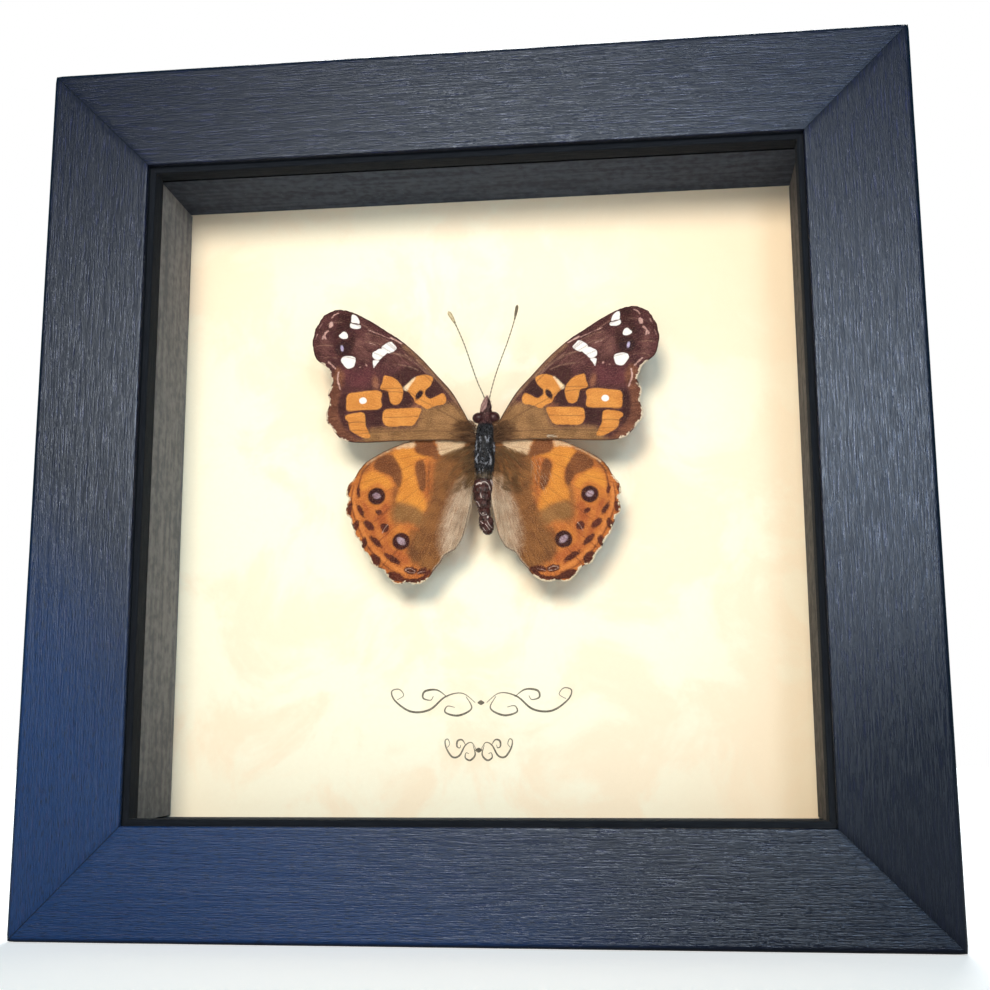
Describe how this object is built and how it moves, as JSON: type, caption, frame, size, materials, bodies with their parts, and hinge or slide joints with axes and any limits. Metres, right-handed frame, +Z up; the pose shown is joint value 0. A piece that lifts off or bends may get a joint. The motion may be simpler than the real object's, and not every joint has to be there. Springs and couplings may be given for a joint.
{
  "type": "framed butterfly specimen",
  "caption": "Square shadow-box frame with a stepped lip and glass, holding a spread butterfly raised off a cream card, with a sawtooth hanger on the back.",
  "frame": {"origin": "on the surface it stands on, below the middle of its bounding box", "axes": "+Z up the frame, +X to the viewer's right, face towards -Y"},
  "size_m": [0.14, 0.0322, 0.14],
  "materials": {
    "stained_wood": "satin blue-black stain over fine straight grain",
    "pane": "clear, smooth",
    "painted_strip": "matt black paint",
    "card": "matt, faintly mottled cream",
    "hardboard": "matt brown hardboard",
    "steel": "plain zinc-plated",
    "hanger_brass": "brass-plated sheet",
    "pad_foam": "matt white foam",
    "insect_body": "black, with pale hairs",
    "forewing": "matt scales, maroon-brown with orange and white marks",
    "hindwing": "matt scales, orange with dark spots"
  },
  "bodies": {
    "root": {"frame_rail_top": "stained_wood", "frame_rail_bottom": "stained_wood", "frame_rail_left": "stained_wood", "frame_rail_right": "stained_wood", "glass": "pane", "spacer_top": "painted_strip", "spacer_bottom": "painted_strip", "spacer_left": "painted_strip", "spacer_right": "painted_strip", "backing_card": "card", "back_panel": "hardboard", "point_left_upper": "steel", "point_left_lower": "steel", "point_right_upper": "steel", "point_right_lower": "steel", "sawtooth_hanger": "hanger_brass", "hanger_nail_left": "steel", "hanger_nail_right": "steel", "mounting_pad": "pad_foam", "butterfly_body": "insect_body", "forewing_left": "forewing", "forewing_right": "forewing", "hindwing_left": "hindwing", "hindwing_right": "hindwing", "antenna_left": "insect_body", "antenna_right": "insect_body"}
  },
  "joints": []
}
